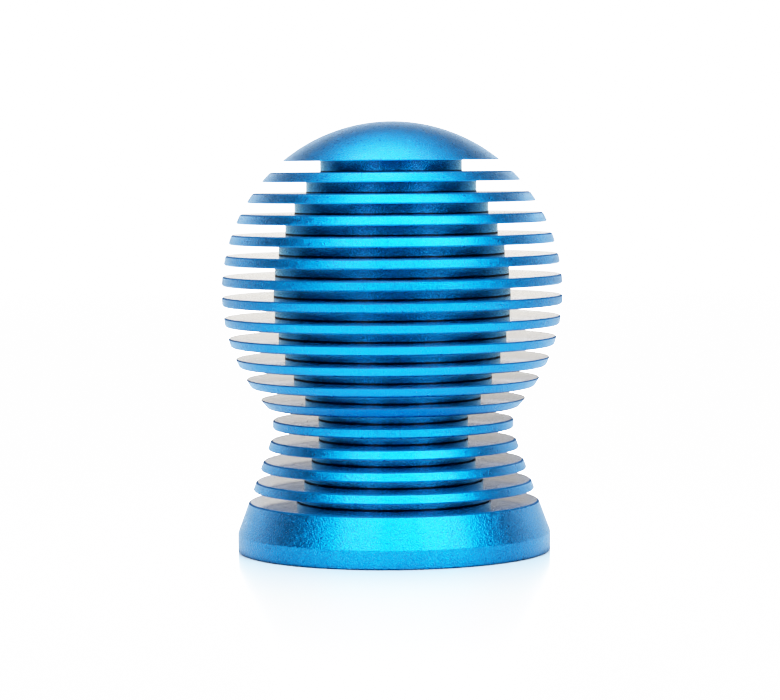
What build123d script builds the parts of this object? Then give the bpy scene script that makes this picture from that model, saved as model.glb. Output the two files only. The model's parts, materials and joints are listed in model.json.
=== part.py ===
"""Gear shift knob: a finned ball on a flared foot, with a threaded adapter in its underside.

Millimetres. The knob stands on z = 0 with +Z up, and it is turned about the Z axis.
"""
import os
from math import radians, tan

from build123d import *

# Body: overall form
overall_height = 63.0
ball_diameter = 50.0
neck_diameter = 35.5
base_diameter = 46.0
base_height = 7.35
band_height = 2.75
flare_angle = 20.0
cap_depth = 5.75
edge_break = 0.2

# Body: fins, evenly spaced from the base to the cap, and the core that carries them
fin_count = 16
fin_thickness = 1.4
cap_stem_diameter = 20.8
ball_groove_depth = 7.6
flare_groove_depth = 6.75
neck_wall = 3.5

# Adapter: flanged sleeve with the lever's thread inside, drawn at its tapping drill
lever_thread_drill = 8.5
mouth_countersink = 1.3
inner_end_chamfer = 0.6
sleeve_wall = 3.2
shank_length = 20.0
shank_chamfer = 0.8
relief_width = 1.5
relief_depth = 0.9
flange_width = 2.55
flange_thickness = 2.0
flange_recess = 0.3
slot_width = 2.5
slot_depth = 1.2

# Body: blind tapped hole for the adapter, both threads drawn at their pitch diameter
thread_clearance = 0.05
flange_clearance = 0.1
lever_end_room = 12.0
drill_point_angle = 118.0

# Values that follow from those above
ball_radius = ball_diameter / 2
base_radius = base_diameter / 2
ball_centre = overall_height - ball_radius
flare_slope = tan(radians(flare_angle))
cap_edge = overall_height - cap_depth
groove_width = (cap_edge - base_height - fin_count * fin_thickness) / (fin_count + 1)
pitch = fin_thickness + groove_width
drill_radius = lever_thread_drill / 2
shank_radius = drill_radius + sleeve_wall
flange_radius = shank_radius + flange_width
flange_seat = flange_recess + flange_thickness
shank_end = flange_seat + shank_length
hole_radius = shank_radius + thread_clearance
hole_end = shank_end + lever_end_room
counterbore_radius = flange_radius + flange_clearance


def flare_radius(height):
    """Outside radius of the straight flare at a height."""
    return base_radius - (height - band_height) * flare_slope


def belly_radius(height):
    """Radius of the core's barrel inside the ball, widest at the ball's centre."""
    widest = ball_radius - ball_groove_depth
    narrowing = widest - cap_stem_diameter / 2
    top_groove = cap_edge - groove_width / 2
    return widest - narrowing * ((height - ball_centre) / (top_groove - ball_centre)) ** 2


def core_radius(height):
    """Radius of a groove's floor: barrel in the ball, then a wall round the hole, then the flare."""
    if height > ball_centre:
        return belly_radius(height)
    wall_radius = hole_radius + neck_wall
    return max(belly_radius(height), wall_radius, flare_radius(height) - flare_groove_depth)


def body_outline():
    """Half of the knob's outline: ball, neck, flare and base band as one area."""
    half_ball = CenterArc((0, ball_centre), ball_radius, -90, 180)
    ball = make_face(half_ball + Line(half_ball @ 1, half_ball @ 0))
    neck = Rectangle(neck_diameter / 2, ball_centre, align=Align.MIN)
    foot = Polygon(
        (0, 0),
        (base_radius, 0),
        (base_radius, band_height),
        (flare_radius(ball_centre), ball_centre),
        (0, ball_centre),
        align=None,
    )
    return ball + neck + foot


def slab(radius, low, high):
    """Half section of a plain disc between two heights."""
    return Pos(0, low) * Rectangle(radius, high - low, align=Align.MIN)


def fin_slice(outline, low, high):
    """The outline between two heights, with the edges of its rim broken."""
    piece = outline & slab(ball_diameter + base_diameter, low, high)
    rim = piece.vertices().filter_by(lambda corner: corner.X > edge_break).sort_by(Axis.Y)
    return chamfer([rim[0], rim[-1]], edge_break)


def cap_slice(outline):
    """The dome above the topmost groove, with its lower edge broken."""
    piece = outline & slab(ball_diameter, cap_edge, overall_height)
    return chamfer(piece.vertices().sort_by(Axis.X)[-1], edge_break)


def hole_outline():
    """Half of the hole in the underside: counterbore, tapped length and drill point."""
    point_height = hole_radius / tan(radians(drill_point_angle / 2))
    return Polygon(
        (0, 0),
        (counterbore_radius + edge_break, 0),
        (counterbore_radius, edge_break),
        (counterbore_radius, flange_seat),
        (hole_radius, flange_seat),
        (hole_radius, hole_end),
        (0, hole_end + point_height),
        align=None,
    )


def knob_body():
    """The turned body: base, fins on their stepped core and cap, swept once round the axis."""
    outline = body_outline()
    section = fin_slice(outline, 0, base_height) + cap_slice(outline)
    for step in range(fin_count + 1):
        groove_floor = base_height + step * pitch
        groove_roof = groove_floor + groove_width
        section += slab(core_radius(groove_floor + groove_width / 2), groove_floor, groove_roof)
        if step < fin_count:
            section += fin_slice(outline, groove_roof, groove_roof + fin_thickness)
    return revolve(Plane.XZ * (section - hole_outline()), axis=Axis.Z)


def thread_adapter():
    """Flanged sleeve that seats in the counterbore, slotted across its lower face."""
    relief_radius = shank_radius - relief_depth
    section = Polygon(
        (drill_radius + mouth_countersink, flange_recess),
        (flange_radius - edge_break, flange_recess),
        (flange_radius, flange_recess + edge_break),
        (flange_radius, flange_seat),
        (relief_radius, flange_seat),
        (relief_radius, flange_seat + relief_width),
        (shank_radius, flange_seat + relief_width + relief_depth),
        (shank_radius, shank_end - shank_chamfer),
        (shank_radius - shank_chamfer, shank_end),
        (drill_radius + inner_end_chamfer, shank_end),
        (drill_radius, shank_end - inner_end_chamfer),
        (drill_radius, flange_recess + mouth_countersink),
        align=None,
    )
    sleeve = revolve(Plane.XZ * section, axis=Axis.Z)
    slot = Pos(0, 0, flange_recess) * Box(flange_radius * 4, slot_width, slot_depth * 2)
    return sleeve - slot


os.makedirs("parts", exist_ok=True)
export_step(knob_body(), "parts/knob_body.step")
export_step(thread_adapter(), "parts/thread_adapter.step")
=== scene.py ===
"""Looks of the gear shift knob: blue anodised body, bare turned adapter, white studio.

Metres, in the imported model's frame: the knob stands on z = 0 and is turned about the Z axis.
"""

import json
from math import asin, cos, exp, pi, radians, sin, sqrt, tan

import bmesh
import bpy
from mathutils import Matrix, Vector


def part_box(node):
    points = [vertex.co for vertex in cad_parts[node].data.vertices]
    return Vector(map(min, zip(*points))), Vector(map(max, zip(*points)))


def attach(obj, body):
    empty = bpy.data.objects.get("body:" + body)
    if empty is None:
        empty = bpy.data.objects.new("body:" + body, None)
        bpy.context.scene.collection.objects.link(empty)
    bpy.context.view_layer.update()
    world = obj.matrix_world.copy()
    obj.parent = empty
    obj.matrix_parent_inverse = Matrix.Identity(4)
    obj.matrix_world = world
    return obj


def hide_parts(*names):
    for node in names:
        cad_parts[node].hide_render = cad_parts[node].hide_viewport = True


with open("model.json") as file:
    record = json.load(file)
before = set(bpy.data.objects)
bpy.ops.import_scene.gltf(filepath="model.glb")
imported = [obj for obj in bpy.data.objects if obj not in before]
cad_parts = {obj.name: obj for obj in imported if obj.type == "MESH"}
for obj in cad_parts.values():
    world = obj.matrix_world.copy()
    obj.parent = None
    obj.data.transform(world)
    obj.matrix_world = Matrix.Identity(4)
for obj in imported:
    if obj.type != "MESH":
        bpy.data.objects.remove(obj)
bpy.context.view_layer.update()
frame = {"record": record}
body_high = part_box("knob_body")[1]
adapter_low, adapter_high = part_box("thread_adapter")
lever_thread = next(mount for mount in frame["record"]["mounts"] if mount["name"] == "lever_thread")
mm = 0.001

# Body: overall form
overall_height = body_high.z
ball_radius = 25.0 * mm
neck_radius = 17.75 * mm
base_radius = 23.0 * mm
base_height = 7.35 * mm
band_height = 2.75 * mm
flare_angle = 20.0
cap_depth = 5.75 * mm
edge_break = 0.2 * mm
band_line_break = 0.1 * mm
flare_slope = tan(radians(flare_angle))
ball_centre = overall_height - ball_radius
cap_edge = overall_height - cap_depth

# Body: fins, evenly spaced from the base to the cap, and the core that carries them
fin_count = 16
fin_thickness = 1.4 * mm
ball_groove_depth = 7.6 * mm
cap_stem_radius = 10.4 * mm
neck_core_radius = 11.0 * mm
flare_groove_depth = 6.75 * mm
groove_width = (cap_edge - base_height - fin_count * fin_thickness) / (fin_count + 1)
fin_pitch = fin_thickness + groove_width
belly_radius = ball_radius - ball_groove_depth

# Body: painted shade, black in a line along the core's foot and darker on each fin's upper edge
painted_shade_height = 0.18 * mm
painted_edge_shade = 0.8

# Adapter, and the tapped hole that takes it
flange_radius = adapter_high.x
flange_recess = adapter_low.z
flange_thickness = 2.0 * mm
shank_end = adapter_high.z
shank_radius = 7.45 * mm
shank_chamfer = 0.8 * mm
relief_width = 1.5 * mm
relief_depth = 0.9 * mm
drill_radius = lever_thread["dims"]["r_mm"] * mm
mouth_countersink = 1.3 * mm
inner_end_chamfer = 0.6 * mm
slot_width = 2.5 * mm
slot_depth = 1.2 * mm
thread_clearance = 0.05 * mm
flange_clearance = 0.1 * mm
tap_run_out = 3.0 * mm
lever_end_room = 12.0 * mm
drill_point_angle = 118.0
flange_seat = flange_recess + flange_thickness
hole_radius = shank_radius + thread_clearance
hole_end = shank_end + lever_end_room
hole_point = hole_radius / tan(radians(drill_point_angle / 2))
counterbore_radius = flange_radius + flange_clearance

# Threads: the adapter's outside and inside have the same pitch
thread_pitch = 1.5 * mm
adapter_thread_depth = 0.42 * mm
lever_thread_depth = 0.75 * mm
thread_flank = 1.6
rows_per_turn = 8

# Meshes
body_segments = 256
adapter_segments = 128
sharp_angle = 35.0


# Turned shapes

def rim_radius(height):
    """Outside radius of the knob: ball, straight neck, flare and base band."""
    if height <= band_height:
        return base_radius
    ball = sqrt(max(ball_radius ** 2 - (height - ball_centre) ** 2, 0.0))
    if height > ball_centre:
        return ball
    return max(ball, neck_radius, base_radius - (height - band_height) * flare_slope)


def core_radius(height):
    """Radius of a groove's floor: barrel in the ball, wall round the hole, then the flare."""
    top_groove = cap_edge - groove_width / 2
    share = (height - ball_centre) / (top_groove - ball_centre)
    belly = belly_radius - (belly_radius - cap_stem_radius) * share ** 2
    if height > ball_centre:
        return belly
    flare = base_radius - (height - band_height) * flare_slope - flare_groove_depth
    return max(belly, neck_core_radius, flare)


def broken(before, corner, after, leg=edge_break):
    """The two points of a chamfer in a corner's place."""
    corner = Vector(corner)
    start = corner + (Vector(before) - corner).normalized() * leg
    end = corner + (Vector(after) - corner).normalized() * leg
    return [tuple(start), tuple(end)]


def fin_rim(low, high, lower_core, upper_core, steps=8):
    """Rim of one fin from its lower face to its upper face, both edges broken."""
    heights = [low + (high - low) * step / steps for step in range(steps + 1)]
    rim = [(rim_radius(height), height) for height in heights]
    lower_edge = broken((lower_core, low), rim[0], rim[1])
    upper_edge = broken(rim[-2], rim[-1], (upper_core, high))
    return lower_edge + rim[2:-2] + upper_edge


def dome_rows(steps=26):
    """The cap from the topmost groove's roof to the top of the ball."""
    lowest = asin((cap_edge - ball_centre) / ball_radius)
    arc = []
    for step in range(steps):
        angle = lowest + (pi / 2 - lowest) * step / steps
        arc.append((ball_radius * cos(angle), ball_centre + ball_radius * sin(angle)))
    edge = broken((cap_stem_radius, cap_edge), arc[0], arc[1])
    return edge + arc[1:] + [(0.0, overall_height)]


def base_rows(groove_floor_radius):
    """The solid base: underside, band and flare up to the lowest groove."""
    shoulder = (rim_radius(base_height), base_height)
    mouth = (counterbore_radius, 0.0)
    foot = (base_radius, 0.0)
    band_line = (base_radius, band_height)
    rows = broken((counterbore_radius, flange_seat), mouth, foot)
    rows += broken(mouth, foot, band_line)
    rows += broken(foot, band_line, shoulder, band_line_break)
    rows += broken(band_line, shoulder, (groove_floor_radius, base_height))
    return rows


def thread_wave(height, angle):
    """Right-hand thread form, from -1 at its root to 1 at its crest."""
    turn = (height / thread_pitch - angle / (2 * pi)) % 1.0
    return max(-1.0, min(1.0, thread_flank * (1 - 4 * abs(turn - 0.5))))


def thread_rows(radius, low, high, depth):
    """Rows of a thread whose depth runs in and out over its first and last turn."""
    count = round((high - low) / thread_pitch * rows_per_turn)
    rows = []
    for step in range(count + 1):
        height = low + (high - low) * step / count
        share = min(1.0, (height - low) / thread_pitch, (high - height) / thread_pitch)
        rows.append((radius, height, depth * share))
    return rows


def object_of(name, mesh):
    """Object in the scene, made of a finished mesh."""
    data = bpy.data.meshes.new(name)
    mesh.to_mesh(data)
    mesh.free()
    made = bpy.data.objects.new(name, data)
    bpy.context.scene.collection.objects.link(made)
    return made


def turned(name, rows, segments, closed=False):
    """Piece swept once round Z from rows of (radius, height) or (radius, height, thread depth)."""
    mesh = bmesh.new()
    rings = []
    for radius, height, *depth in rows:
        if radius == 0.0:
            rings.append([mesh.verts.new((0, 0, height))] * segments)
            continue
        ring = []
        for step in range(segments):
            angle = 2 * pi * step / segments
            reach = radius
            if depth:
                reach += depth[0] * thread_wave(height, angle)
            ring.append(mesh.verts.new((reach * cos(angle), reach * sin(angle), height)))
        rings.append(ring)
    pairs = list(zip(rings, rings[1:]))
    if closed:
        pairs.append((rings[-1], rings[0]))
    for first, second in pairs:
        for step in range(segments):
            following = (step + 1) % segments
            corners = (first[step], first[following], second[following], second[step])
            mesh.faces.new(list(dict.fromkeys(corners)))
    bmesh.ops.recalc_face_normals(mesh, faces=mesh.faces)
    return object_of(name, mesh)


def apply_modifiers(piece):
    """Turn the piece's modifiers into plain mesh."""
    depsgraph = bpy.context.evaluated_depsgraph_get()
    result = bpy.data.meshes.new_from_object(piece.evaluated_get(depsgraph))
    piece.modifiers.clear()
    piece.data = result


def shade(piece):
    """Smooth shading that stays crisp at sharp edges and flat on flat faces."""
    piece.data.shade_smooth()
    piece.data.set_sharp_from_angle(angle=radians(sharp_angle))
    weighted = piece.modifiers.new("Flat faces stay flat", "WEIGHTED_NORMAL")
    weighted.keep_sharp = True
    apply_modifiers(piece)


def cut_slot(piece):
    """Screwdriver slot across the adapter's lower face."""
    mesh = bmesh.new()
    bmesh.ops.create_cube(mesh, size=1.0)
    bmesh.ops.scale(mesh, vec=(flange_radius * 3, slot_width, slot_depth * 2), verts=mesh.verts)
    bmesh.ops.translate(mesh, vec=(0, 0, flange_recess), verts=mesh.verts)
    cutter = object_of("slot_cutter", mesh)
    cut = piece.modifiers.new("Slot", "BOOLEAN")
    cut.operation = "DIFFERENCE"
    cut.solver = "EXACT"
    cut.object = cutter
    apply_modifiers(piece)
    bpy.data.objects.remove(cutter)


def mark_grooves(piece):
    """Masks for the finish: depth in a groove, and the painted shade along the core's foot and on each
    fin's upper edge.
    """
    near_core = 0.05 * mm
    edge_height = 0.75 * edge_break
    flat_normal = 0.95
    groove = piece.data.attributes.new("groove", "FLOAT", "POINT")
    for vertex, point in zip(piece.data.vertices, groove.data):
        depth = rim_radius(vertex.co.z) - vertex.co.xy.length
        point.value = min(max(depth / flare_groove_depth, 0.0), 1.0)
    # corner marks painted shade: 1 on the black line along the core's foot, less on each fin's upper
    # edge
    corner = piece.data.attributes.new("corner", "FLOAT", "FACE")
    for face, mark in zip(piece.data.polygons, corner.data):
        radius, height = face.center.xy.length, face.center.z
        floor = height - (height - base_height) % fin_pitch
        on_core = abs(radius - core_radius(floor + groove_width / 2)) < near_core
        at_foot = base_height < height < min(floor + painted_shade_height, cap_edge)
        on_rim = rim_radius(height) - radius < edge_break and face.normal.z < flat_normal
        at_top = floor + fin_pitch - height < edge_height and height < cap_edge
        if on_core and at_foot:
            mark.value = 1.0
        elif on_rim and at_top:
            mark.value = painted_edge_shade


# Pieces

def make_knob_body():
    """Body in one turned piece: tapped hole, base, fins on their core, cap."""
    tapped_low = flange_seat + relief_width
    tapped_high = shank_end + tap_run_out
    rows = [(0.0, hole_end + hole_point), (hole_radius, hole_end)]
    rows += reversed(thread_rows(hole_radius, tapped_low, tapped_high, adapter_thread_depth))
    rows += [(hole_radius, flange_seat), (counterbore_radius, flange_seat)]
    rows += base_rows(core_radius(base_height + groove_width / 2))
    for step in range(fin_count + 1):
        floor = base_height + step * fin_pitch
        roof = floor + groove_width
        top = roof + fin_thickness
        core = core_radius(floor + groove_width / 2)
        # the middle row ends the painted shade line along the core's foot
        rows += [(core, floor), (core, floor + painted_shade_height), (core, roof)]
        if step < fin_count:
            rows += fin_rim(roof, top, core, core_radius(top + groove_width / 2))
    rows += dome_rows()
    piece = turned("knob_body_turned", rows, body_segments)
    mark_grooves(piece)
    shade(piece)
    return piece


def make_thread_adapter():
    """Flanged sleeve, threaded outside for the body and inside for the lever."""
    relief_radius = shank_radius - relief_depth
    relief_end = flange_seat + relief_width
    thread_low = relief_end + relief_depth
    rows = [(drill_radius + mouth_countersink, flange_recess)]
    rows += broken(rows[0], (flange_radius, flange_recess), (flange_radius, flange_seat))
    rows += [(flange_radius, flange_seat), (relief_radius, flange_seat), (relief_radius, relief_end)]
    rows += thread_rows(shank_radius, thread_low, shank_end - shank_chamfer, adapter_thread_depth)
    rows += [(shank_radius - shank_chamfer, shank_end), (drill_radius + inner_end_chamfer, shank_end)]
    mouth_low = flange_recess + mouth_countersink
    middle = drill_radius + lever_thread_depth / 2
    inner = thread_rows(middle, mouth_low, shank_end - inner_end_chamfer, lever_thread_depth / 2)
    rows += reversed(inner)
    piece = turned("thread_adapter_turned", rows, adapter_segments, closed=True)
    cut_slot(piece)
    shade(piece)
    return piece


# Finishes

cream = (1.0, 0.98, 0.92)
# blue_black is the colour of painted shade: the black lines on the knob and the painted shadows on the
# table
blue_black = (0.0, 0.002, 0.01)


def new_material(name):
    """A node material with its Principled shader."""
    material = bpy.data.materials.new(name)
    material.use_nodes = True
    return material, material.node_tree, material.node_tree.nodes["Principled BSDF"]


def noise(tree, place, scale, detail):
    """Noise over the piece's own coordinates, with its scale in features per metre."""
    texture = tree.nodes.new("ShaderNodeTexNoise")
    texture.inputs["Scale"].default_value = scale
    texture.inputs["Detail"].default_value = detail
    tree.links.new(place.outputs["Object"], texture.inputs["Vector"])
    return texture.outputs["Fac"]


def mixed(tree, share, first, second, kind="RGBA"):
    """Colour, or value, between two others, each a socket or a fixed colour."""
    mix = tree.nodes.new("ShaderNodeMix")
    mix.data_type = kind
    factor, *ends = [socket for socket in mix.inputs if socket.enabled]
    tree.links.new(share, factor)
    for socket, end in zip(ends, (first, second)):
        if isinstance(end, tuple):
            socket.default_value = (*end, 1.0)
        else:
            tree.links.new(end, socket)
    return next(socket for socket in mix.outputs if socket.enabled)


def bump(tree, height, strength, distance):
    """Normal from a height, with the depth of the relief in metres."""
    node = tree.nodes.new("ShaderNodeBump")
    node.inputs["Strength"].default_value = strength
    node.inputs["Distance"].default_value = distance
    tree.links.new(height, node.inputs["Height"])
    return node.outputs["Normal"]


def combine(tree, operation, first, second):
    """Result of one sum on two values, each a socket or a number."""
    node = tree.nodes.new("ShaderNodeMath")
    node.operation = operation
    for socket, value in zip(node.inputs, (first, second)):
        if isinstance(value, float):
            socket.default_value = value
        else:
            tree.links.new(value, socket)
    return node.outputs["Value"]


def spread(tree, value, low, high, start=0.3, end=0.7):
    """The value's stretch from start to end spread over low to high."""
    ranged = tree.nodes.new("ShaderNodeMapRange")
    ranged.inputs["From Min"].default_value = start
    ranged.inputs["From Max"].default_value = end
    ranged.inputs["To Min"].default_value = low
    ranged.inputs["To Max"].default_value = high
    tree.links.new(value, ranged.inputs["Value"])
    return ranged.outputs["Result"]


def part_of(tree, vector, axis):
    """One part of a vector: X, Y or Z."""
    parts = tree.nodes.new("ShaderNodeSeparateXYZ")
    tree.links.new(vector, parts.inputs["Vector"])
    return parts.outputs[axis]


def length_of(tree, vector):
    """Length of a vector."""
    node = tree.nodes.new("ShaderNodeVectorMath")
    node.operation = "LENGTH"
    tree.links.new(vector, node.inputs[0])
    return node.outputs["Value"]


def level_faces(tree, place):
    """Mask of the level faces below the cap: 1 on the fins' flat sides, 0 on rims, core and dome."""
    facing_up = part_of(tree, place.outputs["Normal"], "Z")
    height = part_of(tree, place.outputs["Object"], "Z")
    upright = combine(tree, "ABSOLUTE", facing_up, 0.0)
    below_cap = combine(tree, "LESS_THAN", height, cap_edge + edge_break / 2)
    return combine(tree, "MULTIPLY", spread(tree, upright, 0.0, 1.0, 0.97, 0.999), below_cap)


def speckle(tree, place, dimples):
    """Light and dark specks from 0 to 1 where the dimples are, weaker where the surface faces down."""
    specks = spread(tree, dimples, -0.5, 0.5, 0.35, 0.65)
    strength = spread(tree, part_of(tree, place.outputs["Normal"], "Z"), 0.35, 1.0, -0.25, 0.05)
    return combine(tree, "ADD", combine(tree, "MULTIPLY", specks, strength), 0.5)


def lathe_marks():
    """Node group: height of the fine rings that a turning tool leaves round the axis."""
    group = bpy.data.node_groups.new("lathe_marks", "ShaderNodeTree")
    group.interface.new_socket("Position", in_out="INPUT", socket_type="NodeSocketVector")
    group.interface.new_socket("Rings per metre", in_out="INPUT", socket_type="NodeSocketFloat")
    group.interface.new_socket("Height", in_out="OUTPUT", socket_type="NodeSocketFloat")
    entry = group.nodes.new("NodeGroupInput")
    result = group.nodes.new("NodeGroupOutput")
    position = entry.outputs["Position"]
    flat = group.nodes.new("ShaderNodeVectorMath")
    flat.operation = "MULTIPLY"
    flat.inputs[1].default_value = (1.0, 1.0, 0.0)
    group.links.new(position, flat.inputs[0])
    radius = length_of(group, flat.outputs["Vector"])
    along = combine(group, "ADD", radius, part_of(group, position, "Z"))
    rings = group.nodes.new("ShaderNodeTexNoise")
    rings.noise_dimensions = "1D"
    rings.inputs["Detail"].default_value = 2.0
    group.links.new(along, rings.inputs["W"])
    group.links.new(entry.outputs["Rings per metre"], rings.inputs["Scale"])
    group.links.new(rings.outputs["Fac"], result.inputs["Height"])
    return group


def place_marks(tree, place, rings_per_metre):
    """The lathe marks placed in a material; gives their height."""
    node = tree.nodes.new("ShaderNodeGroup")
    node.node_tree = bpy.data.node_groups.get("lathe_marks") or lathe_marks()
    node.inputs["Rings per metre"].default_value = rings_per_metre
    tree.links.new(place.outputs["Object"], node.inputs["Position"])
    return node.outputs["Height"]


def mask(tree, name):
    """A mask that the mesh carries."""
    attribute = tree.nodes.new("ShaderNodeAttribute")
    attribute.attribute_name = name
    return attribute.outputs["Fac"]


def inverse(tree, share):
    """One less the share."""
    return combine(tree, "SUBTRACT", 1.0, share)


def weighed(tree, first, first_weight, second, second_weight):
    """Sum of two masks, each times its own weight."""
    first_part = combine(tree, "MULTIPLY", first, first_weight)
    second_part = combine(tree, "MULTIPLY", second, second_weight)
    return combine(tree, "ADD", first_part, second_part)


def seen_apart(tree, by_others, by_camera, output):
    """One shader for the camera's own rays and another for all other rays."""
    rays = tree.nodes.new("ShaderNodeLightPath")
    seen = tree.nodes.new("ShaderNodeMixShader")
    tree.links.new(rays.outputs["Is Camera Ray"], seen.inputs["Fac"])
    tree.links.new(by_others, seen.inputs[1])
    tree.links.new(by_camera, seen.inputs[2])
    tree.links.new(seen.outputs["Shader"], tree.nodes[output].inputs["Surface"])


def blue_anodised():
    """Aluminium under a dyed, sealed oxide layer: blasted outside, turned between the fins; painted
    shade darkens the grooves.
    """
    dimples_per_metre = 4700.0
    dye_clouds_per_metre = 1500.0
    rings_per_metre = 4000.0
    dimple_depth = 0.086 * mm
    ring_depth_share = 0.05
    groove_ring_share = 0.3
    core_polish = 0.11
    flat_polish = 0.2
    line_roughness = 0.6
    core_dye = 0.18
    flat_dye = 0.07
    rim_tint = (0.8, 0.97, 1.0)
    core_tint = (0.6, 0.92, 1.0)
    material, tree, shader = new_material("bead_blasted_blue")
    place = tree.nodes.new("ShaderNodeTexCoord")
    dimples = noise(tree, place, dimples_per_metre, 1.0)
    dye = noise(tree, place, dye_clouds_per_metre, 2.0)
    rings = place_marks(tree, place, rings_per_metre)
    groove = mask(tree, "groove")
    # corner: painted shade from the mesh, black at the core's foot and darker on each fin's upper edge
    corner = mask(tree, "corner")
    level = level_faces(tree, place)
    core = combine(tree, "MULTIPLY", groove, inverse(tree, level))

    grain = speckle(tree, place, dimples)
    # Colour: grain in the blue, painted darker deeper in the grooves as shade, with the painted black
    # shade lines on top
    outside = mixed(tree, grain, (0.0, 0.09, 0.292), (0.0006, 0.16, 0.51))
    inside = mixed(tree, grain, (0.0, 0.05, 0.155), (0.0, 0.113, 0.34))
    dyed = mixed(tree, groove, outside, inside)
    tree.links.new(mixed(tree, corner, dyed, blue_black), shader.inputs["Base Color"])

    smoother = weighed(tree, core, core_polish, level, flat_polish)
    blasted = combine(tree, "SUBTRACT", spread(tree, dye, 0.27, 0.31), smoother)
    rough_line = combine(tree, "MULTIPLY", corner, line_roughness)
    tree.links.new(combine(tree, "ADD", blasted, rough_line), shader.inputs["Roughness"])

    # The painted shade lines are not metallic, so they stay black; cores and flats are partly not
    # metallic
    shaded_dye = weighed(tree, core, core_dye, level, flat_dye)
    matt = combine(tree, "MAXIMUM", corner, shaded_dye)
    tree.links.new(inverse(tree, matt), shader.inputs["Metallic"])
    edge_tint = mixed(tree, core, rim_tint, core_tint)
    tree.links.new(mixed(tree, level, edge_tint, cream), shader.inputs["Specular Tint"])

    ridges = combine(tree, "MULTIPLY", rings, ring_depth_share)
    turned_only = combine(tree, "MAXIMUM", level, combine(tree, "MULTIPLY", groove, groove_ring_share))
    relief = mixed(tree, turned_only, dimples, ridges, "FLOAT")
    tree.links.new(bump(tree, relief, 1.0, dimple_depth), shader.inputs["Normal"])
    shader.inputs["Specular IOR Level"].default_value = 0.0
    shader.inputs["Coat Weight"].default_value = 0.04
    shader.inputs["Coat Roughness"].default_value = 0.2
    shader.inputs["Coat IOR"].default_value = 1.5
    return material


def turned_aluminium():
    """Bare aluminium with fine lathe marks round the axis."""
    rings_per_metre = 7000.0
    ring_depth = 0.008 * mm
    material, tree, shader = new_material("lathe_turned_aluminium")
    place = tree.nodes.new("ShaderNodeTexCoord")
    rings = place_marks(tree, place, rings_per_metre)
    colour = mixed(tree, spread(tree, rings, 0.0, 1.0), (0.76, 0.77, 0.79), (0.84, 0.85, 0.86))
    tree.links.new(colour, shader.inputs["Base Color"])
    tree.links.new(spread(tree, rings, 0.24, 0.34), shader.inputs["Roughness"])
    tree.links.new(bump(tree, rings, 1.0, ring_depth), shader.inputs["Normal"])
    shader.inputs["Metallic"].default_value = 1.0
    return material


def white_table():
    """Pale sheet: glossy to the camera and shining with painted light, dimmest at the base as a painted
    shadow, with a painted blue reflection of the knob near its base.

    In the knob's own reflections it is plain, painted brightest in front, with a painted contact shadow
    round the base and a painted shadow strip straight behind it.
    """
    painted_knob_reflection = (0.3, 0.45, 0.6)
    pale_grey = (0.36, 0.36, 0.36)
    painted_lit_front = (0.95, 0.95, 0.95)
    painted_shaded_back = (0.45, 0.45, 0.45)
    contact_width = 2.0 * mm
    material, tree, shader = new_material("white_table")
    place = tree.nodes.new("ShaderNodeTexCoord")
    reach = length_of(tree, place.outputs["Object"])
    # Painted reflection: the knob's blue laid on the sheet at its base, fading out by four base radii,
    # with a little random tone
    clear_of_painted_reflection = spread(tree, reach, 0.0, 1.0, base_radius, 4 * base_radius)
    cloud = spread(tree, noise(tree, place, 40.0, 2.0), -0.05, 0.05)
    colour = mixed(tree, combine(tree, "ADD", clear_of_painted_reflection, cloud), painted_knob_reflection, pale_grey)
    tree.links.new(colour, shader.inputs["Base Color"])
    # Painted light: the sheet shines to the camera, faint at the base as a painted shadow and bright
    # further out
    painted_sheet_light = spread(tree, reach, 0.1, 3.2, base_radius, 6 * base_radius)
    tree.links.new(painted_sheet_light, shader.inputs["Emission Strength"])
    shader.inputs["Emission Color"].default_value = (1.0, 1.0, 1.0, 1.0)
    shader.inputs["Roughness"].default_value = 0.15

    # For the knob's reflections, a diffuse sheet with painted light and shade: lighter in front, darker
    # behind, a painted contact shadow round the base and a painted shadow strip behind the knob
    across = part_of(tree, place.outputs["Object"], "X")
    backward = part_of(tree, place.outputs["Object"], "Y")
    painted_falloff_backward = spread(tree, backward, 0.0, 1.0, -1.7 * base_radius, -0.7 * base_radius)
    sheet = mixed(tree, painted_falloff_backward, painted_lit_front, painted_shaded_back)
    contact = spread(tree, reach, 1.0, 0.0, base_radius, base_radius + contact_width)
    behind = spread(tree, backward, 0.0, 0.7, 0.3 * base_radius, 1.5 * base_radius)
    aside = combine(tree, "ABSOLUTE", across, 0.0)
    strip = spread(tree, aside, 1.0, 0.0, base_radius, 1.7 * base_radius)
    shadow = combine(tree, "MAXIMUM", contact, combine(tree, "MULTIPLY", behind, strip))
    plain = tree.nodes.new("ShaderNodeBsdfDiffuse")
    tree.links.new(mixed(tree, shadow, sheet, blue_black), plain.inputs["Color"])
    seen_apart(tree, plain.outputs["BSDF"], shader.outputs["BSDF"], "Material Output")
    return material


# Studio

def make_table():
    """Table top under the knob, running back to the backdrop."""
    front, back, side = -0.28, 0.95, 0.5
    mesh = bmesh.new()
    corners = [(-side, front, 0), (side, front, 0), (side, back, 0), (-side, back, 0)]
    mesh.faces.new([mesh.verts.new(corner) for corner in corners])
    table = object_of("table", mesh)
    table.data.materials.append(white_table())
    return table


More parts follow.
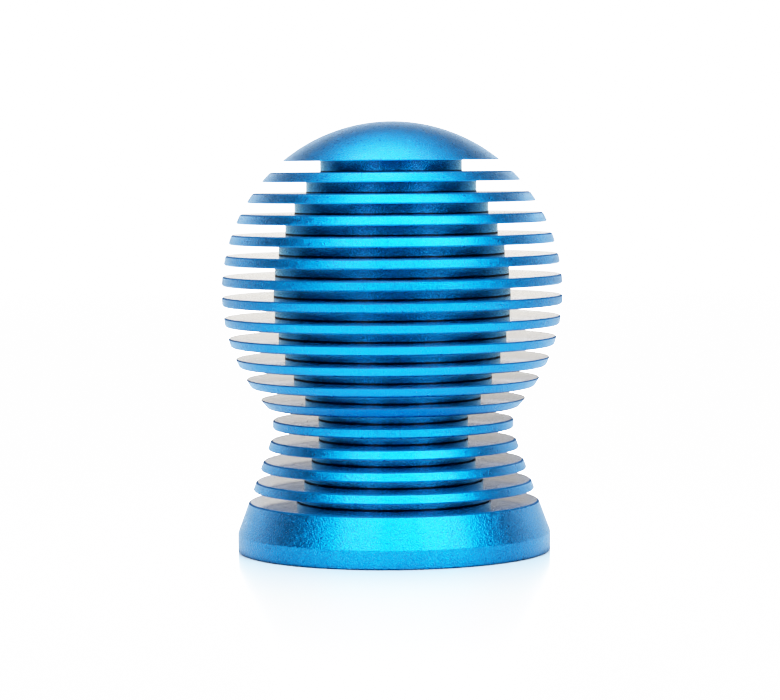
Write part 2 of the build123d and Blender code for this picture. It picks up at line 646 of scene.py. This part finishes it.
def softbox(name, azimuth, elevation, width, height, radiance, colour=(1.0, 1.0, 1.0)):
    """Soft light 1 m from the ball; azimuth runs from the front to the right, in degrees."""
    turn, rise = radians(azimuth), radians(elevation)
    outward = Vector((sin(turn) * cos(rise), -cos(turn) * cos(rise), sin(rise)))
    light = bpy.data.lights.new(name, "AREA")
    light.shape = "RECTANGLE"
    light.color = colour
    light.size = width
    light.size_y = height
    light.energy = radiance * pi * width * height
    lamp = bpy.data.objects.new(name, light)
    lamp.location = Vector((0, 0, ball_centre)) + outward
    lamp.rotation_euler = outward.to_track_quat("Z", "Y").to_euler()
    lamp.visible_camera = False
    bpy.context.scene.collection.objects.link(lamp)
    return lamp


def make_walls(table):
    """White walls round the table that only its gloss shows."""
    only_table = bpy.data.collections.new("reflects_walls")
    only_table.objects.link(table)
    for azimuth in (0, 90, 180, 270):
        wall = softbox("wall_%03d" % azimuth, azimuth, 14.0, 2.2, 0.55, 8.0)
        wall.visible_diffuse = False
        wall.light_linking.receiver_collection = only_table


def make_lights():
    """Soft lights round the knob: keys and fill in front, overhead, rear and backdrop."""
    warm_white = (1.0, 0.92, 0.8)
    # Front: a key on each side with its lower strips, and a dimmer fill between them
    softbox("key_left", -28.0, 46.0, 0.51, 0.73, 14.0)
    softbox("middle_left", -28.0, 20.0, 0.5, 0.21, 11.4)
    softbox("low_left", -28.0, 10.0, 0.28, 0.14, 2.4)
    softbox("floor_left", -28.0, 3.0, 0.28, 0.1, 5.5)
    softbox("key_right", 40.0, 46.0, 0.59, 0.73, 16.8)
    softbox("middle_right", 40.0, 20.0, 0.61, 0.21, 11.6)
    softbox("low_right", 42.0, 10.0, 0.31, 0.14, 2.4)
    softbox("floor_right", 42.0, 3.0, 0.32, 0.1, 6.8)
    softbox("fill_front", 6.0, 46.0, 0.27, 0.73, 6.0)
    softbox("fill_low", 6.0, 18.0, 0.37, 0.28, 5.9)
    # Overhead, for the dome and the upper fins
    softbox("overhead_front", 0.0, 72.0, 0.62, 0.21, 6.0)
    softbox("overhead_back", 180.0, 74.0, 0.66, 0.28, 9.3)
    softbox("overhead_left", 260.0, 76.0, 0.58, 0.28, 8.5)
    softbox("zenith", 0.0, 90.0, 0.25, 0.25, 23.0)
    # Sides and rear, for the low-angle reflections at the knob's sides
    softbox("shoulder_left", -129.0, 43.0, 0.39, 0.35, 0.7)
    softbox("shoulder_right", 129.0, 43.0, 0.39, 0.35, 0.5)
    softbox("rear_left", -138.0, 9.5, 0.9, 0.08, 3.1)
    softbox("rear_left_high", -138.0, 16.8, 0.9, 0.17, 2.1)
    softbox("rear_right", 138.0, 14.5, 0.9, 0.25, 2.8)
    softbox("rear_left_low", -138.0, 1.4, 1.15, 0.09, 1.8)
    softbox("rear_right_low", 138.0, 1.4, 1.15, 0.09, 1.6)
    softbox("rear_middle", 180.0, 15.0, 0.59, 0.21, 2.0)
    # Backdrop, mirrored by the fins' flat sides
    softbox("backdrop_edge", 180.0, 0.2, 0.42, 0.035, 3.5)
    softbox("backdrop_foot", 180.0, 2.3, 0.42, 0.037, 1.6, warm_white)
    softbox("backdrop_low_left", 186.0, 6.3, 0.21, 0.075, 1.15, warm_white)
    softbox("backdrop_low_right", 174.0, 6.3, 0.21, 0.075, 0.5, warm_white)
    softbox("backdrop_middle", 180.0, 32.0, 0.98, 0.32, 0.3)


def make_world():
    """White backdrop for the camera and a dim room in the reflections."""
    world = bpy.data.worlds.new("studio")
    world.use_nodes = True
    tree = world.node_tree
    room = tree.nodes["Background"]
    room.inputs["Color"].default_value = (0.055, 0.055, 0.06, 1.0)
    backdrop = tree.nodes.new("ShaderNodeBackground")
    backdrop.inputs["Color"].default_value = (1.0, 1.0, 1.0, 1.0)
    backdrop.inputs["Strength"].default_value = 4.0
    seen_apart(tree, room.outputs["Background"], backdrop.outputs["Background"], "World Output")
    bpy.context.scene.world = world


def make_camera():
    """Long lens a little above the ball, looking slightly down."""
    lens_length = 135.45
    eye = (-0.15 * mm, -430.4 * mm, 56.6 * mm)
    look_down = 0.063
    lean = radians(0.5)
    data = bpy.data.cameras.new("camera")
    data.sensor_fit = "HORIZONTAL"
    data.sensor_width = 36.0
    data.lens = lens_length
    camera = bpy.data.objects.new("camera", data)
    camera.location = eye
    camera.rotation_euler = (pi / 2 - look_down, lean, 0.0)
    bpy.context.scene.collection.objects.link(camera)
    bpy.context.scene.camera = camera


def set_film():
    """Plain colours with a film's soft shoulder, which keeps the blues deep and the lights clean."""
    brightest = 4.0
    exposure = 1.6
    settings = bpy.context.scene.view_settings
    settings.view_transform = "Standard"
    settings.use_curve_mapping = True
    mapping = settings.curve_mapping
    mapping.white_level = (brightest, brightest, brightest)
    curve = mapping.curves[3]
    for light in (0.1, 0.25, 0.5, 0.8, 1.2, 1.8, 2.6):
        curve.points.new(light / brightest, 1.0 - exp(-exposure * light))
    mapping.update()


body = make_knob_body()
body.data.materials.append(blue_anodised())
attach(body, "root")
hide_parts("knob_body")

adapter = make_thread_adapter()
adapter.data.materials.append(turned_aluminium())
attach(adapter, "root")
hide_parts("thread_adapter")

make_walls(make_table())
make_world()
make_lights()
make_camera()
set_film()
